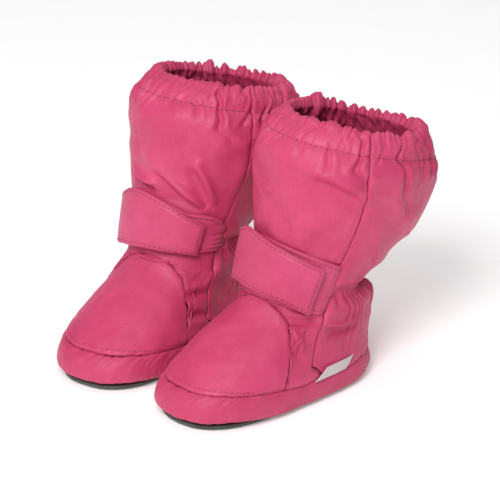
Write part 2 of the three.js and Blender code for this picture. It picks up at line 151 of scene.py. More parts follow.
def eased(table, x):
    """A smooth curve through a table."""
    xs, ys = (np.array([p[i] for p in table], float) for i in (0, 1))
    slope = np.gradient(ys, xs)
    x = np.clip(np.asarray(x, float), xs[0], xs[-1])
    i = np.clip(np.searchsorted(xs, x, side="right") - 1, 0, len(xs) - 2)
    h = xs[i + 1] - xs[i]
    t = (x - xs[i]) / h
    return ((1 + 2 * t) * (1 - t) ** 2 * ys[i] + t * (1 - t) ** 2 * h * slope[i]
            + t * t * (3 - 2 * t) * ys[i + 1] + t * t * (t - 1) * h * slope[i + 1])


def bell(x, width):
    """A smooth bump: 1 at 0, falling away over a width."""
    return np.exp(-(x / width) ** 2)


def from_toe(angle):
    """Unsigned angle from the toe, whichever way round it is counted."""
    return np.abs((np.asarray(angle, float) + 180) % 360 - 180)


def ramp(a, b, x):
    """A smooth step from 0 at a to 1 at b."""
    t = np.clip((np.asarray(x, float) - a) / (b - a), 0, 1)
    return t * t * (3 - 2 * t)


def slice_at(s):
    """The table's row for any slice number, on a smooth curve through its rows."""
    u = np.clip(s, 0, RIM - 1e-9)
    i = np.floor(u).astype(int)
    t = (u - i)[..., None]
    p, q = SLICES[np.maximum(i - 1, 0)], SLICES[i]
    r, v = SLICES[i + 1], SLICES[np.minimum(i + 2, RIM)]
    return 0.5 * (2 * q + (r - p) * t + (2 * p - 5 * q + 4 * r - v) * t ** 2
                  + (3 * q - p - 3 * r + v) * t ** 3)


def skin(angle, s):
    """Point on the smooth outside: angle in degrees from the toe, slice number s."""
    angle, s = np.broadcast_arrays(np.asarray(angle, float), np.asarray(s, float))
    fy, fz, by, bz, w, nf, nb, k = np.moveaxis(slice_at(s), -1, 0)
    c, sn = np.cos(np.radians(angle)), np.sin(np.radians(angle))
    n = np.where(c > 0, nf, nb)
    q = np.abs(c) ** (2 / n)
    my, mz = (fy + by) / 2, (fz + bz) / 2
    x = w * (1 + k * c) * np.sign(sn) * np.abs(sn) ** (2 / n)
    y = my + (np.where(c > 0, fy, by) - my) * q
    z = mz + (np.where(c > 0, fz, bz) - mz) * q
    return np.stack([x, y, z], -1)


def unit(v):
    return v / np.maximum(np.linalg.norm(v, axis=-1, keepdims=True), 1e-12)


def upward(angle, s):
    """Direction along the surface toward the rim."""
    return unit(skin(angle, s) - skin(angle, s - 0.05))


def outward(angle, s):
    """Direction straight out of the surface."""
    s = np.asarray(s, float)
    across = skin(np.asarray(angle) + 0.6, s) - skin(np.asarray(angle) - 0.6, s)
    along = skin(angle, np.minimum(s + 0.05, RIM)) - skin(angle, np.maximum(s - 0.05, 0))
    return unit(np.cross(across, along))


def at(angle, s, off):
    """Point at a distance outside the surface."""
    return skin(angle, s) + outward(angle, s) * np.asarray(off, float)[..., None]


def run_length(points, axis):
    """Distance along the rows or columns of a grid of points."""
    step = np.linalg.norm(np.diff(points, axis=axis), axis=-1)
    pad = [(0, 0)] * step.ndim
    pad[axis] = (1, 0)
    return np.cumsum(np.pad(step, pad), axis=axis)


def even_steps(values, path, count):
    """The values at points spaced evenly along a path."""
    length = run_length(path, 0)
    return np.interp(np.linspace(0, length[-1], count), length, values)


def round_slice(s, columns):
    """Angles spaced evenly once round a slice."""
    fine = np.linspace(-180, 180, 1441)
    return even_steps(fine, skin(fine, s), columns + 1)[:-1]


# ---- how the cloth lies --------------------------------------------------------------
def waves(points, size, seed):
    """Soft unevenness of about one unit, with swells about size millimetres long."""
    rng = np.random.RandomState(seed)
    total = 0
    for _ in range(7):
        direction = unit(rng.normal(size=3))
        length = size * rng.uniform(0.7, 1.6)
        total = total + np.sin(points @ direction * 2 * math.pi / length + rng.uniform(0, 6.3))
    return total / 2.6


def pucker(x, pitch, seed):
    """Small pinches along a seam: one at each crease, falling to nothing between."""
    phase = math.pi * x / pitch + 1.2 * np.sin(2 * math.pi * x / (4.3 * pitch) + seed)
    return (1 - np.abs(np.sin(phase))) ** 2


def no_lower(r, floor, give):
    """Heights eased to a stop a little under the floor, so a layer below never shows."""
    return np.where(r < floor, floor - give * (1 - np.exp(np.minimum(r - floor, 0) / give)), r)


def seam_dip(d):
    """The panel edges turn in along a seam and the cloth swells beside it."""
    return -0.5 * bell(d, 0.6) + 0.3 * bell(d - 3.2, 2.4)


class Cuff:
    """Creases and rounded lobes round the gathered cuff of one bootie."""

    def __init__(self, boot):
        rng = np.random.RandomState(boot["seed"])
        self.table = np.linspace(-180, 180, 721)
        self.length = run_length(skin(self.table, 10.8), 0)
        self.around = self.length[-1]
        made = [(self.arc(a), *rest) for a, *rest in boot["creases"]]
        x = max(m[0] for m in made) + 4.0
        end = min(m[0] for m in made) + self.around - 3.0
        while x < end:
            depth, reach, drift = rng.uniform(0.55, 1.5), rng.uniform(3, 24), rng.uniform(-0.3, 0.3)
            made.append((x % self.around, depth, reach, drift))
            x += rng.choice([rng.uniform(3.2, 4.6), rng.uniform(5.0, 8.2)])
        self.at, self.depth, self.reach, self.drift = np.array(sorted(made), float).T
        self.height = rng.uniform(0.45, 1.15, len(made))
        self.lean = rng.uniform(0.62, 1.6, len(made))
        self.seed = boot["seed"]

    def arc(self, angle):
        """Millimetres round the cuff at an angle."""
        angle = (np.asarray(angle, float) + 180) % 360 - 180
        return np.interp(angle, self.table, self.length)

    def slack(self, angle):
        """The front of the cuff is drawn in less than the back."""
        return 0.34 + 0.66 * ramp(55, 120, from_toe(angle))

    def lobe(self, x):
        """Height of the rounded lobes between creases: 0 in a crease, about 1 on top."""
        n = len(self.at)
        x = x % self.around
        k = np.searchsorted(self.at, x, side="right") - 1
        low = np.where(k < 0, self.at[-1] - self.around, self.at[k])
        high = np.where(k + 1 >= n, self.at[0] + self.around, self.at[(k + 1) % n])
        f = np.clip((x - low) / (high - low), 0, 1) ** self.lean[k % n]
        deep = self.depth[k % n] * (1 - f) + self.depth[(k + 1) % n] * f
        wide = np.clip((high - low) / 6.0, 0.55, 1.2)
        return (4 * f * (1 - f)) ** 0.7 * self.height[k % n] * wide, deep

    def sway(self, x, length):
        """A wave that closes on itself round the cuff."""
        return np.sin(2 * math.pi * x / self.around * round(self.around / length))

    def tucks(self, x, pitch):
        """Pinched tucks about `pitch` millimetres apart: 1 in a tuck, 0 between."""
        count = round(self.around / pitch)
        phase = math.pi * count * x / self.around + 1.1 * self.sway(x + self.seed, 4.3 * pitch)
        return (1 - np.abs(np.sin(phase))) ** 2

    def crinkle(self, x, t):
        """Fine crumpling of the cloth over the elastic."""
        turn = 2 * math.pi * x / self.around
        radius = self.around / (2 * math.pi)
        circle = [radius * np.cos(turn), radius * np.sin(turn), 0.45 * t]
        spot = np.stack(np.broadcast_arrays(*circle), -1)
        return waves(spot, 5.0, self.seed + 70) + 0.6 * waves(spot, 2.6, self.seed + 71)

    def swell(self, angle, x):
        """The lobes round their middle height, less where the cuff is drawn in."""
        lobe, deep = self.lobe(x)
        return (lobe - 0.5) * np.clip(deep, 0.6, 1.5) * self.slack(angle)

    def relief(self, angle, t):
        """Outward swell at a depth t under the rim."""
        arc = self.arc(angle)
        x = arc + 1.5 * self.sway(arc + 2.6 * t, 56) + 0.8 * self.sway(arc + 2.1 * t, 25)
        stitch = (RIM - HEM_STITCH) * RIM_SLICE
        amp = np.interp(t, [0, 6, stitch, stitch + 5, stitch + 12], [3.0, 2.1, 1.3, 0.8, 0])
        base = np.interp(t, [0, 3, 7.5, stitch - 2.5, stitch, stitch + 2.5, stitch + 7],
                         [-0.2, 0.1, 0.6, 0.1, -0.8, 0.1, 0.3])
        r = base + amp * self.swell(angle, x)
        slack = self.slack(angle)
        r = r + 0.34 * self.crinkle(arc, t) * ramp(stitch + 5, stitch - 5, t) * (0.5 + 0.5 * slack)
        pinch = (self.tucks(x, 5.4) * ramp(13, 3, t)
                 + 0.7 * self.tucks(x + 3, 6.4) * bell(t - stitch, 3.0))
        r = r - 0.95 * pinch * (0.45 + 0.55 * slack)
        below = np.maximum(t - stitch, 0)
        for x0, depth, reach, drift in zip(self.at, self.depth, self.reach, self.drift):
            gap = (x - x0 - drift * below + self.around / 2) % self.around - self.around / 2
            width = 0.9 + 0.085 * below
            fade = ramp(reach, reach * 0.15, below) * ramp(3 if depth > 1.4 else stitch - 6, stitch + 1, t)
            fade = fade + (0.8 * ramp(stitch, 4, t) if depth > 1.4 else 0)
            beside = bell(np.abs(gap) - 2.3 * width, 1.2 * width)
            groove = np.exp(-np.abs(gap / width) ** 1.3) - 0.45 * beside
            r = r - 1.5 * depth * np.minimum(fade, 1) * groove
        return no_lower(r, -0.9 - 0.9 * ramp(11, 15, t), 0.6)

    def hem(self, angle):
        """Radius of the rolled hem at the rim, and how far it lifts."""
        arc = self.arc(angle)
        x = arc + 1.5 * self.sway(arc, 56) + 0.8 * self.sway(arc, 25)
        swell = self.swell(angle, x) - 0.2 * self.tucks(x, 5.4)
        sway = 0.6 * self.sway(arc + 9 * self.seed, 90) + 0.4 * self.sway(arc, 41)
        rough = 0.3 * self.crinkle(arc, 0 * arc)
        return HEM_MIDDLE - 0.1 + 3.0 * swell + rough, 1.5 * swell + 0.6 * sway + 0.8 * rough


def fold_relief(points, normals, folds):
    """Outward swell from the drawn folds, dents and creases."""
    r = np.zeros(points.shape[:-1])
    for kind, width, depth, path in folds:
        stops = np.array(path, float)
        along = np.linspace(0, len(stops) - 1, 40)
        i = np.minimum(along.astype(int), len(stops) - 2)
        t = (along - i)[:, None]
        line = skin(*((stops[i] * (1 - t) + stops[i + 1] * t).T))
        gap = points[..., None, :] - line
        far = np.linalg.norm(gap, axis=-1)
        k = np.argmin(far, axis=-1)
        near = np.take_along_axis(far, k[..., None], -1)[..., 0]
        way = unit(np.gradient(line, axis=0))[k]
        nearest = np.take_along_axis(gap, k[..., None, None], -2)[..., 0, :]
        side = np.einsum("...i,...i->...", nearest, np.cross(normals, way))
        ends = np.sin(np.clip(k / 39, 0.0, 1) * math.pi) ** 0.6
        u = np.sign(side) * near / width
        if kind == "crease":
            shape = -np.exp(-np.abs(u) ** 1.5) + 0.5 * bell(np.abs(u) - 1.9, 1.0)
        elif kind == "fold":
            shape = 1.15 * bell(u - 0.7, 0.62) - bell(u + 0.5, 0.75)
        else:
            shape = -np.exp(-u ** 2) + 0.3 * bell(np.abs(u) - 1.7, 0.8)
        r += 1.8 * depth * shape * np.maximum(ends, 0.12)
    return r


def heel_tuck(angle):
    """The foot band leans in a little behind the heel."""
    return 2.8 * ramp(100, 142, from_toe(angle))


def vamp_seam(boot, angle):
    """Slice number of the seam over the toes against the unsigned angle."""
    return follow(VAMP_SEAM, angle) + boot["vamp_rise"] * ramp(58, 20, angle)


def crease_web(points, size, seed):
    """Fine crease lines wandering over the cloth: 1 on a line, 0 away from it."""
    return bell(waves(points, size, seed), 0.3)


def under_strap(angle, s):
    """1 where the strap presses on the cloth."""
    turn = from_toe(angle)
    low, high = follow(BASE_LOW_EDGE, turn), follow(BASE_HIGH_EDGE, turn)
    return ramp(low - 0.25, low + 0.15, s) * ramp(high + 0.2, high - 0.15, s) * ramp(82, 73, turn)


def ankle_gathers(boot, angle, s):
    """The elastic behind the ankle draws the back panel into short pleats."""
    turn = from_toe(angle)
    x = np.asarray(angle, float) * 0.62
    h = (s - ANKLE) * 10.5
    seed = boot["seed"]
    here = ramp(68, 80, turn)
    bent = x + 1.6 * np.sin(h / 6 + x / 7 + seed)
    phase = math.pi * bent / 5.6 + 1.3 * np.sin(bent / 4.7 + seed) + 0.8 * np.sin(bent / 11.3)
    tuck = 1 - np.abs(np.sin(phase)) ** 0.8
    reach = 1 + 0.55 * np.sin(bent / 3.9 + 2 * seed)
    down = bell(np.minimum(h, 0), 17.0 * reach)
    up = bell(np.maximum(h, 0), 6.5 * reach)
    pull = (-1.7 * bell(h, 3.6) + 1.7 * bell(h + 11, 7)
            + 0.9 * bell(h - 8, 5))
    return here * (pull + (0.9 - 3.0 * tuck) * down * up)


def lie(boot, cuff, angle, s, d_side, d_low):
    """Outward swell of the upper's cloth."""
    seed = boot["seed"]
    base, normals = skin(angle, s), outward(angle, s)
    t = (RIM - s) * RIM_SLICE
    r = 0.55 * waves(base, 34, seed) + 0.16 * waves(base, 11, seed + 1)
    r += fold_relief(base, normals, boot["folds"])
    r += ankle_gathers(boot, angle, s)
    turn = from_toe(angle)
    clear = ramp(3, 11, d_side) * ramp(3, 11, d_low)
    flank = ramp(40, 62, turn) * ramp(5.6, 4.8, s) * clear
    flat = base * np.array([1, 1, 2.2])
    r -= 0.6 * flank * crease_web(flat, 34, seed + 50) * (0.5 + 0.5 * waves(base, 30, seed + 51))
    shaft = ramp(6.8, 7.6, s) * ramp(10.2, 9.2, s) * ramp(1.5, 8, d_side)
    slant = base @ np.array([[1, 0, 0.5], [0, 1, 0], [-0.4, 0, 1.5]])
    ridge = bell(np.abs(waves(slant, 46, seed + 52)) - 0.05, 0.26)
    r += 1.15 * shaft * (ridge - 0.45) * ramp(-0.4, 0.7, waves(base, 38, seed + 53))
    r = no_lower(r, -0.7, 1.1)
    r -= heel_tuck(angle) * ramp(3.9, 1.9, s)
    calm = ramp(60, 40, t)
    r = r * (1 - 0.93 * under_strap(angle, s)) - 0.45 * under_strap(angle, s)
    r += cuff.relief(angle, np.minimum(t, 70)) * calm
    pinch = pucker(run_length(base, 0), 5.2, seed) * bell(d_side, 3.0)
    r += seam_dip(d_side) - 0.45 * pinch * ramp(2.5, 4, s)
    edge = pucker(run_length(base, 1), 4.6, seed + 2) * bell(d_low, 4.0)
    r += seam_dip(d_low) - 0.5 * edge
    return r


# ---- meshes -------------------------------------------------------------------------
def placed(boot, points):
    """Millimetres on one bootie to metres in the row frame."""
    a = math.radians(boot["turn"])
    turn = np.array([[math.cos(a), -math.sin(a), 0], [math.sin(a), math.cos(a), 0], [0, 0, 1]])
    return (np.asarray(points) @ turn.T + np.array(boot["origin"])) * MM


def grid_normals(points, closed=False):
    """Outward directions of a grid of points, which may close round its columns."""
    if closed:
        across = np.roll(points, -1, 1) - np.roll(points, 1, 1)
    else:
        across = np.gradient(points, axis=1)
    return unit(np.cross(across, np.gradient(points, axis=0)))


def into_scene(name, data):
    """Puts a new object in the scene."""
    thing = bpy.data.objects.new(name, data)
    bpy.context.scene.collection.objects.link(thing)
    return thing


def add_piece(name, points, faces, material, uv=None):
    """A smooth-shaded piece with one material and its cloth coordinates in millimetres."""
    mesh = bpy.data.meshes.new(name)
    mesh.from_pydata(points.tolist(), [], faces.tolist() if hasattr(faces, "tolist") else faces)
    if uv is not None:
        layer = mesh.uv_layers.new(name="cloth_mm")
        index = np.empty(len(mesh.loops), int)
        mesh.loops.foreach_get("vertex_index", index)
        layer.data.foreach_set("uv", np.asarray(uv, np.float32)[index].ravel())
    mesh.shade_smooth()
    mesh.materials.append(material)
    return into_scene(name, mesh)


def quads(rows, cols, join_rows, join_cols):
    """Faces of a grid, which may join its last row or column to its first."""
    j, i = np.meshgrid(np.arange(rows if join_rows else rows - 1),
                       np.arange(cols if join_cols else cols - 1), indexing="ij")
    j2, i2 = (j + 1) % rows, (i + 1) % cols
    return np.stack([j * cols + i, j * cols + i2, j2 * cols + i2, j2 * cols + i], -1).reshape(-1, 4)


def shell(outer, inner, closed):
    """Points and faces of a closed sheet from its outer and inner grids."""
    rows, cols = outer.shape[:2]
    ring = np.concatenate([outer, inner[::-1]], 0)
    n = 2 * rows
    faces = quads(n, cols, True, closed)
    if not closed:
        k = np.arange(rows - 1)
        low, high = k, k + 1
        back_low, back_high = n - 1 - k, n - 2 - k
        start = np.stack([low, high, back_high, back_low], -1) * cols
        end = np.stack([high, low, back_low, back_high], -1) * cols + cols - 1
        faces = np.concatenate([faces, start, end])
    return ring.reshape(-1, 3), faces


def cloth_piece(boot, name, outer, material, uv, thick=CLOTH, closed=False, inner=None):
    """A sheet of cloth with thickness; the outer grid runs up its rows and round its columns."""
    if inner is None:
        inner = outer - grid_normals(outer, closed) * thick
    points, faces = shell(outer, inner, closed)
    uvs = np.concatenate([uv, uv[::-1]], 0).reshape(-1, 2)
    return add_piece(f"{boot['side']}_{name}", placed(boot, points), faces, material, uvs)


def grid_uv(points):
    """Millimetres along the middle row and the middle column."""
    rows, cols = points.shape[:2]
    u = run_length(points[rows // 2][None], 1)[0]
    v = run_length(points[:, cols // 2][:, None], 0)[:, 0]
    return np.stack(np.broadcast_arrays(u[None, :], v[:, None]), -1)


def flat_size(smooth_points, allowance):
    """Width, length and area in metres as cut, with the seam allowance in millimetres."""
    across, along = run_length(smooth_points, 1)[:, -1], run_length(smooth_points, 0)[-1]
    width, length = across.max() + 2 * allowance, along.max() + 2 * allowance
    corner = smooth_points[1:, 1:] - smooth_points[:-1, :-1]
    other = smooth_points[1:, :-1] - smooth_points[:-1, 1:]
    covered = np.linalg.norm(np.cross(corner, other), axis=-1).sum() / 2
    area = covered + 2 * allowance * (across.mean() + along.mean())
    return (width * MM, length * MM), min(area * MM * MM, 0.999 * width * length * MM * MM)


def cut_sheet(boot, flat, allowance):
    size, area = flat_size(flat, allowance)


def belongs(boot, piece, slot, *nodes, body="bootie"):
    """Gives a piece its body and hides the CAD solids it stands for; slot, its finish, is not used."""
    if body:
        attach(piece, f"{boot['side']}_{body}")
    if nodes:
        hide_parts(*[f"{boot['side']}_{node}" for node in nodes])


# One stitch from end to end: share of its length, of its radius, and how far it stands up.
STITCH_SHAPE = [(-0.5, 0.35, -0.25), (-0.42, 0.85, 0.0), (-0.2, 1, 0.3),
                (0.2, 1, 0.3), (0.42, 0.85, 0.0), (0.5, 0.35, -0.25)]
STITCH_SIDES = 7
STITCH_LIFT = 0.05


def stitches(boot, name, path, normals, pitch=3.0, length=2.0, radius=0.22):
    """Short thread stitches along a path, each a rounded bar."""
    along = run_length(path[:, None], 0)[:, 0]
    count = max(int(along[-1] / pitch), 1)
    middles = (np.arange(count) + 0.5) * along[-1] / count

    def on(rows, x):
        return np.stack([np.interp(x, along, rows[:, i]) for i in range(3)], -1)
    centre, up = on(path, middles), unit(on(normals, middles))
    way = unit(on(path, middles + 0.5) - on(path, middles - 0.5))
    side = unit(np.cross(up, way))
    up = np.cross(way, side)
    sides, last = STITCH_SIDES, (len(STITCH_SHAPE) - 1) * STITCH_SIDES
    around = quads(len(STITCH_SHAPE), sides, False, True)
    ring = np.arange(sides) * 2 * math.pi / sides
    points, faces = [], []
    for k in range(count):
        base = len(points) * sides
        circle = np.cos(ring)[:, None] * side[k] + np.sin(ring)[:, None] * up[k]
        for share, fat, high in STITCH_SHAPE:
            middle = centre[k] + way[k] * share * length + up[k] * (STITCH_LIFT + high * radius)
            points.append(middle + radius * fat * circle)
        faces += (around + base).tolist()
        faces.append([base + i for i in reversed(range(sides))])
        faces.append([base + last + i for i in range(sides)])
    return add_piece(f"{boot['side']}_{name}", placed(boot, np.concatenate(points)), faces, thread)


# ---- materials ----------------------------------------------------------------------
def colour(hex_code):
    """sRGB hex to linear."""
    parts = [int(hex_code[i:i + 2], 16) / 255 for i in (1, 3, 5)]
    return (*[c / 12.92 if c <= 0.04045 else ((c + 0.055) / 1.055) ** 2.4 for c in parts], 1)


def add(tree, kind, settings=None, links=None):
    """Adds a node with its settings and its links."""
    made = tree.nodes.new("ShaderNode" + kind)
    for key, value in (settings or {}).items():
        if isinstance(key, str) and key.islower():
            setattr(made, key, value)
        else:
            made.inputs[key].default_value = value
    for key, source in (links or {}).items():
        tree.links.new(source, made.inputs[key])
    return made


def new_material(name):
    """An empty node material and its tree."""
    material = bpy.data.materials.new(name)
    material.use_nodes = True
    material.node_tree.nodes.clear()
    return material, material.node_tree


WAVE_LENGTH = 0.31416         # one wave of the wave texture at scale 1


def woven(name, hexes, spacing, rough, sheen, sheen_hex, mottle=1.0, uv=True, slub=1.0, level=0.35):
    """Plain-woven cloth: threads crossing every `spacing` millimetres, slubs and soft mottling."""
    material, tree = new_material(name)
    if uv:
        place = add(tree, "UVMap", {"uv_map": "cloth_mm"}).outputs["UV"]
    else:
        metres = add(tree, "TexCoord").outputs["Object"]
        place = add(tree, "Mapping", {"Scale": (1000, 1000, 1000)}, {"Vector": metres}).outputs["Vector"]
    body = add(tree, "TexCoord").outputs["Object"]
    threads, streaks = [], []
    for way, stretch in (("X", (0.09, 0.95, 1)), ("Y", (0.95, 0.09, 1))):
        threads.append(add(tree, "TexWave", {"bands_direction": way, "Scale": WAVE_LENGTH / spacing,
                                             "Distortion": 0.6, "Detail": 1.0, "Detail Scale": 0.5},
                           {"Vector": place}).outputs["Fac"])
        drawn = add(tree, "Mapping", {"Scale": stretch}, {"Vector": place}).outputs["Vector"]
        streaks.append(add(tree, "TexNoise", {"Scale": 1.0, "Detail": 2.0}, {"Vector": drawn}).outputs["Fac"])
    cross = add(tree, "Math", {"operation": "MULTIPLY"}, dict(enumerate(threads))).outputs[0]
    slubs = add(tree, "Math", {"operation": "ADD"}, dict(enumerate(streaks))).outputs[0]
    cloud = add(tree, "TexNoise", {"Scale": 38.0, "Detail": 3.0, "Roughness": 0.55},
                {"Vector": body}).outputs["Fac"]
    tone = add(tree, "MapRange", {"From Min": 0.3, "From Max": 0.7}, {"Value": cloud}).outputs["Result"]
    shade = add(tree, "ValToRGB", {}, {"Fac": tone})
    shade.color_ramp.elements.new(0.5)
    for stop, hex_code in zip(shade.color_ramp.elements, hexes):
        stop.color = colour(hex_code)
    grain = add(tree, "MapRange", {"From Min": 0.65, "From Max": 1.35, "To Min": 1 - 0.07 * slub,
                                   "To Max": 1 + 0.06 * slub}, {"Value": slubs}).outputs["Result"]
    thread_tone = add(tree, "MapRange", {"To Min": 0.965, "To Max": 1.03}, {"Value": cross}).outputs["Result"]
    both = add(tree, "Math", {"operation": "MULTIPLY"}, {0: grain, 1: thread_tone}).outputs[0]
    tint = add(tree, "VectorMath", {"operation": "SCALE"},
               {0: shade.outputs["Color"], "Scale": both}).outputs[0]
    height = add(tree, "Math", {"operation": "ADD"}, {0: cross, 1: slubs}).outputs[0]
    fine = add(tree, "Bump", {"Strength": 0.25, "Distance": 0.00012}, {"Height": height}).outputs["Normal"]
    rumple = add(tree, "TexNoise", {"Scale": 210.0, "Detail": 2.0}, {"Vector": body}).outputs["Fac"]
    normal = add(tree, "Bump", {"Strength": 0.35 * mottle, "Distance": 0.0007},
                 {"Height": rumple, "Normal": fine}).outputs["Normal"]
    dull = add(tree, "MapRange", {"From Min": 0.6, "From Max": 1.4, "To Min": rough + 0.07,
                                  "To Max": rough - 0.07}, {"Value": slubs}).outputs["Result"]
    shader = add(tree, "BsdfPrincipled", {"Sheen Weight": sheen, "Sheen Roughness": 0.45,
                                          "Sheen Tint": colour(sheen_hex), "Specular IOR Level": level},
                 {"Base Color": tint, "Roughness": dull, "Normal": normal})
    add(tree, "OutputMaterial", {}, {"Surface": shader.outputs["BSDF"]})
    return material


# Taslan: air-textured polyester in a plain weave with a water-repellent finish. Matt with a
# dry satin glow where it faces the light. Real threads are 0.3 mm; drawn 1.0 mm so they show.
taslan = woven("taslan_woven_pink", ("#BC3560", "#C43D68", "#CA4670"), 1.0, 0.5, 0.06, "#F2B4C8")
# The same cloth cut on the bias for the foot band, a shade deeper.
band_cloth = woven("taslan_woven_band", ("#B8325C", "#C03A64", "#C6426C"), 1.0, 0.52, 0.06, "#F0A8C0")
# Two layers of taslan stitched flat: stiffer, so it looks smoother.
strap_cloth = woven("taslan_doubled_strap", ("#BC3A64", "#C4426C", "#CA4A74"),
                    1.0, 0.5, 0.08, "#F2B4C8", mottle=0.4)
# Brushed polyester knit, raised so the surface is soft and blurs the light. Its dark pink is painted shade,
# copied from the shaded inside of the bootie.
lining_cloth = woven("polyester_brushed_lining", ("#7A3048", "#843850", "#8E405A"),
                     1.4, 0.9, 0.25, "#E8B0C0", mottle=2.0)
# Hook-and-loop tape: woven nylon ground with a dense pile of loops or hooks.
pile_tape = woven("nylon_hook_and_loop", ("#A8345A", "#B83E66", "#C24A70"),
                  1.2, 0.85, 0.4, "#E8A0B8", mottle=2.5, slub=1.6)
# Woven elastic: rubber cores wrapped in polyester, ribs along the tape.
elastic_tape = woven("elastic_woven_white", ("#D8D2CC", "#E2DED8", "#ECE8E4"), 1.6, 0.8, 0.2, "#FFFFFF")
# Damask-woven label tape: pale grey satin ground, fine ribs.
label_cloth = woven("polyester_woven_label", ("#B4A8AC", "#C2B6BA", "#CEC4C8"),
                    0.9, 0.45, 0.15, "#FFFFFF", mottle=0.3, level=0.5)
# Needled felt insole: matted grey fibres, no threads.
felt = woven("felt_needled_grey", ("#6E6A66", "#7C7874", "#8A8682"),
             2.2, 0.95, 0.5, "#D8D4D0", mottle=3.0, slub=2.0)
# Pressed fibreboard: flat, brownish, with short fibres on the surface.
board = woven("fibreboard_pressed", ("#A48864", "#B2966F", "#C0A47E"),
              2.0, 0.85, 0.0, "#FFFFFF", uv=False, slub=1.8)
# Spun polyester sewing thread dyed to match: a little shinier than the cloth. Its colour is drawn darker than
# the cloth as painted shade, for the dimples the stitches sink into.
thread = woven("polyester_sewing_thread", ("#8A2C4A", "#963452", "#A43E5E"),
               0.35, 0.5, 0.2, "#F4B8CC", uv=False, mottle=0.2)


def moulded_rubber():
    """Thermoplastic rubber moulded against a grained tool: dark, dull, faintly speckled."""
    material, tree = new_material("rubber_moulded_sole")
    body = add(tree, "TexCoord").outputs["Object"]
    grain = add(tree, "TexNoise", {"Scale": 900.0, "Detail": 3.0}, {"Vector": body}).outputs["Fac"]
    scuff = add(tree, "TexNoise", {"Scale": 60.0, "Detail": 4.0, "Roughness": 0.7},
                {"Vector": body}).outputs["Fac"]
    shade = add(tree, "ValToRGB", {}, {"Fac": scuff})
    shade.color_ramp.elements[0].position = 0.3
    shade.color_ramp.elements[0].color = colour("#3C413C")
    shade.color_ramp.elements[1].position = 0.75
    shade.color_ramp.elements[1].color = colour("#5A605A")
    dull = add(tree, "MapRange", {"To Min": 0.62, "To Max": 0.86}, {"Value": scuff}).outputs["Result"]
    normal = add(tree, "Bump", {"Strength": 0.3, "Distance": 0.0002}, {"Height": grain}).outputs["Normal"]
    shader = add(tree, "BsdfPrincipled", {"IOR": 1.5},
                 {"Base Color": shade.outputs["Color"], "Roughness": dull, "Normal": normal})
    add(tree, "OutputMaterial", {}, {"Surface": shader.outputs["BSDF"]})
    return material


rubber = moulded_rubber()


# ---- pieces of one bootie --------------------------------------------------------------
def hem_rows(cuff, angles):
    """The cuff's edge: over the rim and back down inside, one row after another."""
    rim, out = skin(angles, RIM), outward(angles, RIM)
    up = upward(angles, RIM)
    arc = cuff.arc(angles)
    radius, lift = cuff.hem(angles)
    rows = []
    for a in np.linspace(0, 180, 13)[1:]:
        c, s = math.cos(math.radians(a)), math.sin(math.radians(a))
        thin = 1 - 0.45 * s
        rows.append(rim + out * (radius * c * thin - HEM_MIDDLE + 0.9 * s)[:, None]
                    + up * (radius * s + lift)[:, None])
    for f in np.linspace(0, 1, 17)[1:]:
        crumple = cuff.crinkle(arc + 40 + 6 * f, f * RIM_SLICE)
        lobes = cuff.swell(angles, arc + 3 * math.sin(7 * f) + 2 * cuff.sway(arc, 38))
        lobes = lobes - 0.5 * cuff.tucks(arc + 4 * f, 4.6)
        swell = ((radius - HEM_MIDDLE) * (1 - 0.8 * f) + 1.4 * lobes * min(f * 3, 1)
                 - 0.9 * math.exp(-((f - 0.57) / 0.07) ** 2) + crumple * min(f * 5, 1))
        swell = no_lower(swell, -0.8, 0.6)
        rows.append(at(angles, RIM - f, -2 * HEM_MIDDLE + 0.3 - swell + 0.3 * f)
                    + up * (lift * max(1 - f * 4, 0))[:, None])
    return np.stack(rows)


SHAFT_ROWS = np.concatenate([np.linspace(SHAFT_FROM, 7, 27)[:-1], np.linspace(7, RIM, 84)])


def upper_panel(boot, cuff, name, angle_of, start, node):
    """A panel of the upper from its lower seam, up the shaft and over the cuff's rim."""
    low = start + (SHAFT_FROM - start) * np.linspace(0, 1, 46)[:-1, None]
    s = np.concatenate([low, SHAFT_ROWS[:, None] + 0 * start])
    angles = np.stack([angle_of(row) for row in s])
    base, normals = skin(angles, s), outward(angles, s)
    across = run_length(base, 1)
    d_side = np.minimum(across, across[:, -1:] - across)
    d_low = run_length(base, 0)
    r = lie(boot, cuff, angles, s, d_side, d_low)
    radius, lift = cuff.hem(angles[-1])
    near = ramp(7, 0, (RIM - s) * RIM_SLICE)
    r = r * (1 - near) + (radius - HEM_MIDDLE)[None, :] * near + seam_dip(d_side) * near
    outer = base + normals * r[..., None] + upward(angles, s) * (lift[None, :] * near)[..., None]
    rolled = hem_rows(cuff, angles[-1])
    outer = np.concatenate([outer, rolled])
    piece = cloth_piece(boot, name, outer, taslan, grid_uv(outer))
    cut_sheet(boot, np.concatenate([base, rolled]), PANEL_ALLOWANCE)
    belongs(boot, piece, "taslan_pink", node)
    return s, outer


def even_shares(angle_of, s, columns):
    """Column shares that space the columns evenly along a row."""
    fine = np.linspace(0, 1, 401)
    return even_steps(fine, skin(angle_of(fine, s), s), columns)


def front_cloth(boot, cuff):
    """The front panel, from side seam to side seam over the instep."""
    columns = 181
    shares = even_shares(lambda f, s: (2 * f - 1) * follow(SIDE_SEAM, s), 8.0, columns)
    turn = 2 * shares - 1
    scan = np.arange(5.9, 1.6, -0.01)
    start = np.empty(columns)
    for i, f in enumerate(turn):
        angle = np.abs(f) * follow(SIDE_SEAM, scan)
        edge = np.where(angle < VAMP_END, vamp_seam(boot, angle), follow(BAND_TOP, angle))
        edge = np.maximum(edge, follow(BAND_TOP, angle)) + SEAM_CLEAR
        hit = np.nonzero(scan < edge)[0]
        start[i] = scan[hit[0]] if len(hit) else scan[-1]
    gap = 0.05 / 35
    turn = turn * (1 - gap)
    return upper_panel(boot, cuff, "front_cloth", lambda s: turn * follow(SIDE_SEAM, s), start, "front_panel")


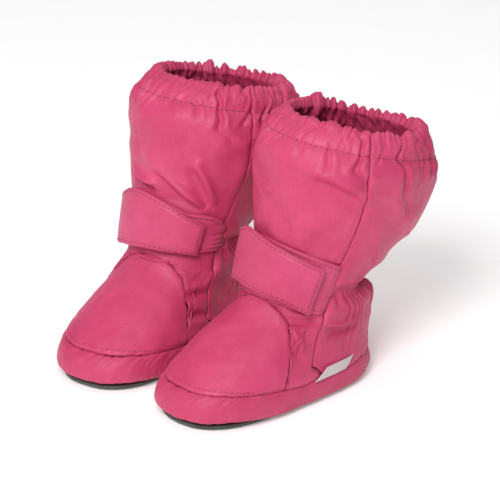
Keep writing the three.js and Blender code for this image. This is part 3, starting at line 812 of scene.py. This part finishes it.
def back_cloth(boot, cuff):
    """The back panel, from side seam to side seam round the heel."""
    columns = 265
    gap = 0.0004

    def whole(share, s):
        return follow(SIDE_SEAM, s) * (1 - share) + (360 - follow(SIDE_SEAM, s)) * share

    def angle_of(s):
        shares = even_shares(whole, float(np.mean(s)), columns)
        return whole(gap + shares * (1 - 2 * gap), s)
    start = follow(BAND_TOP, from_toe(whole(even_shares(whole, 2.5, columns), 2.0))) + SEAM_CLEAR
    return upper_panel(boot, cuff, "back_cloth", angle_of, start, "back_panel")


def toe_cloth(boot):
    """The vamp: one smooth piece over the toes."""
    columns, rows = 161, 64
    fine = np.linspace(-VAMP_END + 0.8, VAMP_END - 0.8, 801)
    angles = even_steps(fine, skin(fine, 2.3), columns)
    low = follow(BAND_TOP, np.abs(angles)) + 0.005
    high = np.maximum(vamp_seam(boot, np.abs(angles)) - 0.004, low + 0.03)
    v = np.linspace(0, 1, rows)[:, None]
    s = low + (high - low) * v
    a = np.broadcast_to(angles, s.shape)
    base, normals = skin(a, s), outward(a, s)
    up = run_length(base, 0)
    d_low, d_high = up, up[-1:] - up
    seed = boot["seed"]
    r = (1.3 * np.sin(math.pi * v) ** 1.3 * ramp(0, 12, up[-1]) + 0.4 * waves(base, 40, seed + 6)
         + 0.1 * waves(base, 9, seed + 7))
    r += 0.7 * seam_dip(d_low) + seam_dip(d_high)
    x = run_length(base, 1)
    r -= 0.4 * pucker(x, 5.5, seed) * bell(d_low, 4.5)
    r -= 0.2 * pucker(x, 4.1, seed + 3) * bell(d_high, 3)
    outer = base + normals * r[..., None]
    piece = cloth_piece(boot, "toe_cloth", outer, taslan, grid_uv(outer))
    cut_sheet(boot, base, PANEL_ALLOWANCE)
    belongs(boot, piece, "taslan_pink", "vamp")
    return outer


def foot_band(boot):
    """The band round the foot, its lower edge turned in over the outsole."""
    columns, rows = 420, 26
    angles = round_slice(1.0, columns)
    top = follow(BAND_TOP, np.abs(angles)) - 0.004
    v = np.linspace(0, 1, rows)[:, None]
    s = top * v
    a = np.broadcast_to(angles, s.shape)
    base, normals = skin(a, s), outward(a, s)
    seed = boot["seed"]
    up = run_length(base, 0)
    x = run_length(base, 1)
    toe = 0.35 + 0.65 * ramp(95, 50, np.abs(a))
    r = 0.75 * np.sin(math.pi * v ** 0.75) ** 1.3 + 0.7 * seam_dip(up[-1:] - up)
    front = ramp(75, 40, np.abs(a))
    r += 0.2 * waves(base, 14, seed + 9) - heel_tuck(a) - 1.5 * front * ramp(0.45, 0, v)
    lean = x + 1.2 * np.sin(up / 5 + x / 13)
    r -= toe * 0.95 * pucker(lean, 6.3, seed + 4) * bell(up[-1:] - up, 6)
    r -= toe * 0.8 * pucker(lean + 2, 6.1, seed + 5) * bell(up, 6.5)
    outer = base + normals * r[..., None]
    outer[..., 2] += 1.5 * front * ramp(0.6, 0, v) ** 2
    low, n0 = outer[0], unit(normals[0] * np.array([1, 1, 0]))
    sag = 0.35 * waves(np.stack([x[0], 0 * x[0], 0 * x[0]], -1), 16, seed + 12)
    turned = []
    for inset, z in ((8.0, BAND_TURN), (4.0, BAND_TURN), (2.0, BAND_TURN), (1.25, BAND_TURN - 0.3),
                     (0.9, low[:, 2] + 0.75 + 0.2 * sag), (0.45, low[:, 2] + 0.15 + 0.2 * sag)):
        p = low - n0 * inset
        p[:, 2] = z
        turned.append(p)
    outer = np.concatenate([np.stack(turned), outer])
    tuck = at(angles, top, -2.2)
    outer = np.concatenate([outer, (tuck * 0.5 + outer[-1] * 0.5)[None]])
    piece = cloth_piece(boot, "foot_band_cloth", outer, band_cloth, grid_uv(outer), thick=1.0, closed=True)
    cut_sheet(boot, outer, BAND_ALLOWANCE)
    belongs(boot, piece, "taslan_band", "sole_band")


def outline(s, inset, z):
    """A level ring set in from the outside at one slice."""
    angles = round_slice(s, 160)
    p = skin(angles, s)
    n = unit(outward(angles, s) * np.array([1, 1, 0]))
    toe = min(1.1, 0.6 * inset) * ramp(80, 45, np.abs(angles))
    q = p - n * (inset - toe + heel_tuck(angles))[:, None]
    q[:, 2] = z
    return q


def slab(boot, name, rings, material, middle_low, middle_high):
    """A flat closed piece from rings, filled in by smaller rings toward its middle."""
    def inward(ring, middle):
        centre = np.array([0, ring[:, 1].mean()])
        return [np.column_stack([ring[:, :2] * k + centre * (1 - k), np.full(len(ring), middle)])
                for k in (0.8, 0.55, 0.28, 0.06)]
    stack = inward(rings[0], middle_low)[::-1] + rings + inward(rings[-1], middle_high)
    stack = np.stack(stack)
    rows, cols = stack.shape[:2]
    faces = quads(rows, cols, False, True).tolist()
    faces.append(list(range(cols))[::-1])
    faces.append([(rows - 1) * cols + k for k in range(cols)])
    uv = stack[..., :2].reshape(-1, 2)
    return add_piece(f"{boot['side']}_{name}", placed(boot, stack.reshape(-1, 3)), faces, material, uv)


def tread(boot):
    """The moulded outsole: a plain slab with a rounded edge, its underside slightly hollow."""
    profile = ((4.4, 0.0), (3.6, 0.0), (3.0, 0.25), (2.0, 0.9), (1.7, 1.6), (1.7, 2.7), (2.1, SOLE_TOP))
    rings = [outline(0, inset, z) for inset, z in profile]
    piece = slab(boot, "tread", rings, rubber, 0.35, SOLE_TOP)
    belongs(boot, piece, "rubber_sole", "outsole")


def insole(boot):
    """The felt insole, soft at its upper edge."""
    profile = ((8.5, 7.3), (8.35, 7.6), (8.35, 10.2), (8.8, 10.9), (10.5, 11.2))
    rings = [outline(1, inset, z) for inset, z in profile]
    piece = slab(boot, "felt_insole", rings, felt, 7.3, 10.9)
    belongs(boot, piece, "felt", "insole")


def padded_lining(boot):
    """Wadding with its brushed lining, one soft tube inside the shell."""
    columns = 220
    s = np.linspace(1.62, LINING_TOP, 96)

    def whole(share, s):
        return -180 + 360 * share
    angles = np.stack([whole(even_shares(whole, v, columns + 1)[:-1], v) for v in s])
    ss = np.broadcast_to(s[:, None], angles.shape)
    base = skin(angles, ss)
    seed = boot["seed"]
    puff = 0.55 * waves(base, 17, seed + 20) + 0.25 * waves(base, 8, seed + 21)
    edge = ramp(0, 0.15, ss - s[0]) * ramp(0, 0.12, s[-1] - ss)
    pinch = pucker(run_length(base, 1), 6.3, seed + 22) * bell((LINING_TOP - ss) * 22, 9)
    elastic = bell(ss - 6, 0.5) * ramp(70, 82, np.abs(angles))
    tie = (1.2 * pucker(np.abs(angles) * 0.6, 5.4, seed + 23) * bell(ss - ANKLE, 0.7)
           * ramp(66, 84, np.abs(angles)))
    tuck = heel_tuck(angles) * ramp(3.9, 1.9, ss)
    inner_off = LINING_FACE - 0.5 * edge * (puff + 0.4) + 0.8 * pinch + tie * 0.6 - tuck
    outer_off = WADDING_BACK - tuck - 1.5 * elastic - 0.9 * (1 - edge) - 0.9 * ramp(9.3, 9.9, ss)
    outer_off = np.maximum(outer_off, inner_off + 0.8)
    outer, inner = at(angles, ss, outer_off), at(angles, ss, inner_off)
    piece = cloth_piece(boot, "padded_lining", outer, lining_cloth, grid_uv(outer), closed=True, inner=inner)
    belongs(boot, piece, "lining_cloth", "lining", "wadding")


def elastics(boot, cuff):
    """The woven elastics in the cuff's hem and behind the ankle."""
    rim = np.linspace(-180, 180, 361)[:-1]
    ankle = np.linspace(78, 282, 181)
    for name, angles, low, high, depth, thick, lift in (
            ("cuff", rim, RIM - 0.42, RIM - 0.08, -2.9, 0.9, cuff.hem(rim)[1]),
            ("ankle", ankle, 5.7, 6.35, -3.9, 0.8, 0 * ankle)):
        s = np.linspace(low, high, 8)[:, None] + 0 * angles
        a = np.broadcast_to(angles, s.shape)
        tape = at(a, s, depth) + upward(a, s) * (0.3 * lift)[None, :, None]
        piece = cloth_piece(boot, f"{name}_elastic_tape", tape, elastic_tape, grid_uv(tape), thick=thick,
                            closed=name == "cuff")
        belongs(boot, piece, "elastic", f"{name}_elastic")


def on_strap(angle, share, off):
    """Point of a strap layer, which spans the hollow of the ankle in a straight line."""
    out = unit(outward(angle, 5.3 + 0 * angle) + outward(angle, 7.3 + 0 * angle))
    bottom = skin(angle, follow(BASE_LOW_EDGE, angle))
    top = skin(angle, follow(BASE_HIGH_EDGE, angle))
    return bottom + (top - bottom) * share[..., None] + out * np.asarray(off, float)[..., None]


def strap_grid(angles, low, high, rows):
    """Angles and shares of a strap layer between its lower and upper edge."""
    v = np.linspace(0, 1, rows)[:, None]
    return np.broadcast_to(angles, (rows, len(angles))), low + (high - low) * v


def rounded(d, thick, edge=0.9):
    """How thick a turned-in edge is at a distance d from it."""
    return thick * np.sqrt(np.clip(1 - (1 - np.clip(d / edge, 0, 1)) ** 2, 0.03, 1))


def edge_distance(points):
    """Distance of each point of a grid from its nearest edge."""
    x, y = run_length(points, 1), run_length(points, 0)
    return np.minimum(np.minimum(x, x[:, -1:] - x), np.minimum(y, y[-1:] - y))


def strap_base(boot):
    """The doubled strip sewn across the instep, which the flap closes on."""
    angles = np.linspace(-73.6, 73.6, 201)
    a, f = strap_grid(angles, eased(boot["base_from"], angles), eased(boot["base_to"], angles) - 0.01, 40)
    flat = on_strap(a, f, 0 * a)
    d = edge_distance(flat)
    across = run_length(flat, 0)
    top = across[-1:] - across
    seed = boot["seed"]
    groove = 0.5 * bell(d - 2.2, 0.45)
    ease = 0.35 * waves(flat, 16, seed + 30) * ramp(0, 6, d)
    sewn = ramp(66, 73, np.abs(a))
    tucks = pucker(across, 3.6, seed + 31) * ramp(50, 70, np.abs(a))
    middle = 1.15 + 0.4 * bell(top, 1.5) + ease - 1.5 * sewn - boot["end_tucks"] * tucks
    half = rounded(d, 0.75) - groove * 0.5
    outer, inner = on_strap(a, f, middle + half), on_strap(a, f, middle - half)
    piece = cloth_piece(boot, "strap_base_cloth", outer, strap_cloth, grid_uv(flat), inner=inner)
    cut_sheet(boot, flat, STRAP_ALLOWANCE)
    belongs(boot, piece, "taslan_pink", "strap_base")
    return outer


def flap_shares(boot, angles, inset):
    """The flap's lower and upper edge, drawn in by a share of its width."""
    low, high = eased(boot["flap_from"], angles), eased(boot["flap_to"], angles)
    return low + (high - low) * inset, high - (high - low) * inset


def tapes(boot):
    """The loop tape on the base strip and the hook tape under the flap's free end."""
    end = boot["flap_end"] - 4
    for name, start, inset, off, body in (("loop_tape", 12, 0.17, 2.1, "bootie"),
                                          ("hook_tape", 18, 0.2, 3.35, "strap_tip")):
        angles = np.linspace(start, end, 61)
        a, f = strap_grid(angles, *flap_shares(boot, angles, inset), 33)
        flat = on_strap(a, f, 0 * a)
        rough = 0.10 * waves(flat, 2.2, boot["seed"] + 60)
        outer = on_strap(a, f, off + 0.5 + rounded(edge_distance(flat), 0.25) + rough)
        inner = on_strap(a, f, off + 0 * a)
        piece = cloth_piece(boot, f"{name}_pile", outer, pile_tape, grid_uv(flat), inner=inner)
        cut_sheet(boot, flat, 0)
        belongs(boot, piece, "hook_loop", name, body=body)


def fold_with_flap(boot, piece):
    """Bakes the piece's placement into its mesh; the ends of the flap's break are worked out, but nothing
    bends the piece.
    """
    angles = FLAP_BREAK + np.array([-FLAP_CREASE, FLAP_CREASE])
    start, end = placed(boot, on_strap(angles, np.full(2, 0.5), 5.0))
    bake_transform(piece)


def flap(boot):
    """The strap's flap, one doubled strip from its sewn end round to its free end."""
    end = boot["flap_end"]
    angles = np.concatenate([np.linspace(FLAP_ROOT, -60, 41)[:-1], np.linspace(-60, end, 181)])
    a, f = strap_grid(angles, *flap_shares(boot, angles, 0), 49)
    bow = eased(boot["flap_bow"], a)
    flat = on_strap(a, f, bow)
    d = edge_distance(flat)
    across = run_length(flat, 0)
    top = across[-1:] - across
    groove = 0.5 * bell(d - 2.4, 0.42)
    ease = 0.4 * waves(flat, 28, boot["seed"] + 33) * ramp(0, 5, d)
    half = rounded(d, 0.75) - groove * 0.35 + 0.05 * bell(d - 1.2, 0.8)
    edge = ramp(3.5, 0, np.minimum(across, top))
    droop = 0.9 * edge * ramp(-10, 20, a)
    middle = bow + 0.7 + ease * 0.5 - droop - 0.9 * ramp(end - 5, end, a) * (1 - edge)
    outer, inner = on_strap(a, f, middle + half), on_strap(a, f, middle - half)
    piece = cloth_piece(boot, "strap_flap", outer, strap_cloth, grid_uv(flat), inner=inner)
    cut_sheet(boot, flat, STRAP_ALLOWANCE)
    belongs(boot, piece, "taslan_pink", "strap_root", "strap_tip", body=None)
    fold_with_flap(boot, piece)
    return outer


def label(boot):
    """A woven label, one layer, its lower edge caught in the seam above the foot band."""
    u, v = np.meshgrid(np.linspace(0, 1, 41), np.linspace(0, 1, 25))
    a = 90.4 + 12.2 * u + v * (2.4 + 3.8 * u)
    s = follow(BAND_TOP, a) - 0.01 + v * 0.56
    flat = skin(a, s)
    d = edge_distance(flat)
    lift = 0.55 + 1.5 * v ** 1.3 * (1 - 0.45 * u) + 0.12 * waves(flat, 9, boot["seed"] + 50)
    rib = 0.05 * np.cos(2 * math.pi * v * 8.7 / 0.9)
    half = rounded(np.where(v > 0.5, d, 9), 0.42, 0.6)
    outer, inner = at(a, s, lift + half + rib), at(a, s, lift - half)
    piece = cloth_piece(boot, "side_label", outer, label_cloth, grid_uv(flat), inner=inner)
    cut_sheet(boot, flat, LABEL_ALLOWANCE)
    belongs(boot, piece, "label_tape", "label")


def row_at(s_grid, outer, s):
    """Points and normals of a panel's cloth along one slice."""
    k = int(np.argmin(np.abs(s_grid[:, s_grid.shape[1] // 2] - s)))
    return outer[k], grid_normals(outer)[k]


def sew(boot, front, back, toe, base, strap):
    """All the visible stitching of one bootie."""
    made = []
    for name, (s, outer) in (("front", front), ("back", back)):
        path, normals = row_at(s, outer, HEM_STITCH)
        made.append(stitches(boot, f"{name}_hem_stitches", path[2:-2], normals[2:-2], radius=0.26))
    row = 3
    s, outer = front
    half = s.shape[1] // 2
    inside = (s[0] > 2.25) & (np.abs(np.arange(s.shape[1]) - half) < half - 2)
    made.append(stitches(boot, "vamp_seam_stitches", outer[row][inside], grid_normals(outer)[row][inside],
                         pitch=2.9))
    made.append(stitches(boot, "toe_edge_stitches", toe[row][3:-3], grid_normals(toe)[row][3:-3],
                         radius=0.16))
    for name, k in (("top", -row - 1), ("low", row)):
        made.append(stitches(boot, f"strap_base_{name}_stitches", base[k], grid_normals(base)[k]))
    for piece in made:
        belongs(boot, piece, "taslan_pink")
    along = run_length(strap[24][None], 1)[0]
    end = int(np.argmin(np.abs(along - along[-1] + 2.4)))
    path, normals = [np.concatenate([grid[row, :end], grid[row:-row, end], grid[-row - 1, :end][::-1]])
                     for grid in (strap, grid_normals(strap))]
    piece = stitches(boot, "flap_edge_stitches", path, normals)
    belongs(boot, piece, "taslan_pink", body=None)
    fold_with_flap(boot, piece)


for boot in BOOTS:
    cuff = Cuff(boot)
    front, back, toe = front_cloth(boot, cuff), back_cloth(boot, cuff), toe_cloth(boot)
    foot_band(boot)
    tread(boot)
    insole(boot)
    padded_lining(boot)
    elastics(boot, cuff)
    base = strap_base(boot)
    tapes(boot)
    strap = flap(boot)
    label(boot)
    sew(boot, front, back, toe, base, strap)
    board_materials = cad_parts[f"{boot['side']}_insole_board"].data.materials
    board_materials.clear()
    board_materials.append(board)

# ---- floor, light and camera ------------------------------------------------------------
floor_mesh = bpy.data.meshes.new("floor")
floor_mesh.from_pydata([(-4, -4, 0), (4, -4, 0), (4, 4, 0), (-4, 4, 0)], [], [(0, 1, 2, 3)])
floor = into_scene("floor", floor_mesh)
floor_material, tree = new_material("paper_white_sweep")
place = add(tree, "TexCoord").outputs["Object"]
grain = add(tree, "TexNoise", {"Scale": 40.0}, {"Vector": place}).outputs["Fac"]
tone = add(tree, "MapRange", {"To Min": 0.93, "To Max": 0.96}, {"Value": grain}).outputs["Result"]
shader = add(tree, "BsdfPrincipled", {"Roughness": 0.9, "Specular IOR Level": 0.1,
                                      "Emission Color": (1, 1, 1, 1), "Emission Strength": 0.2},
             {"Base Color": tone})
add(tree, "OutputMaterial", {}, {"Surface": shader.outputs["BSDF"]})
floor_mesh.materials.append(floor_material)

world = bpy.data.worlds.new("studio")
bpy.context.scene.world = world
world.use_nodes = True
sky = world.node_tree.nodes["Background"].inputs
sky["Color"].default_value = (1, 1, 1, 1)
sky["Strength"].default_value = 0.34

AZIMUTH, ELEVATION = math.radians(46.6), math.radians(24.0)
AIM = Vector((0.01756, -0.00185, 0.0665))
BACK = Vector((math.sin(AZIMUTH) * math.cos(ELEVATION), -math.cos(AZIMUTH) * math.cos(ELEVATION),
               math.sin(ELEVATION)))
DISTANCE = 1.8                # metres from the camera to the booties


def lamp(name, direction, distance, size, power):
    """A soft box aimed at the booties."""
    light = bpy.data.lights.new(name, "AREA")
    light.shape, light.size, light.energy = "DISK", size, power
    thing = into_scene(name, light)
    thing.location = AIM + Vector(direction).normalized() * distance
    thing.rotation_euler = (AIM - thing.location).to_track_quat("-Z", "Y").to_euler()


RIGHT = Vector((math.cos(AZIMUTH), math.sin(AZIMUTH), 0))
lamp("key", BACK * 1.0 + Vector((0, 0, 0.5)) - RIGHT * 0.3, 1.6, 0.7, 19)
lamp("fill", BACK * 0.3 - RIGHT * 1.0 + Vector((0, 0, 0.2)), 1.8, 1.0, 4)
lamp("top", Vector((0, 0.2, 1)), 1.5, 1.4, 6)

camera = bpy.data.cameras.new("camera")
camera.lens, camera.sensor_width = 238.5, 36
camera.clip_end = 20
seat = into_scene("camera", camera)
seat.location = AIM + BACK * DISTANCE
seat.rotation_euler = (-BACK).to_track_quat("-Z", "Y").to_euler()
bpy.context.scene.camera = seat
bpy.context.scene.view_settings.view_transform = "Standard"
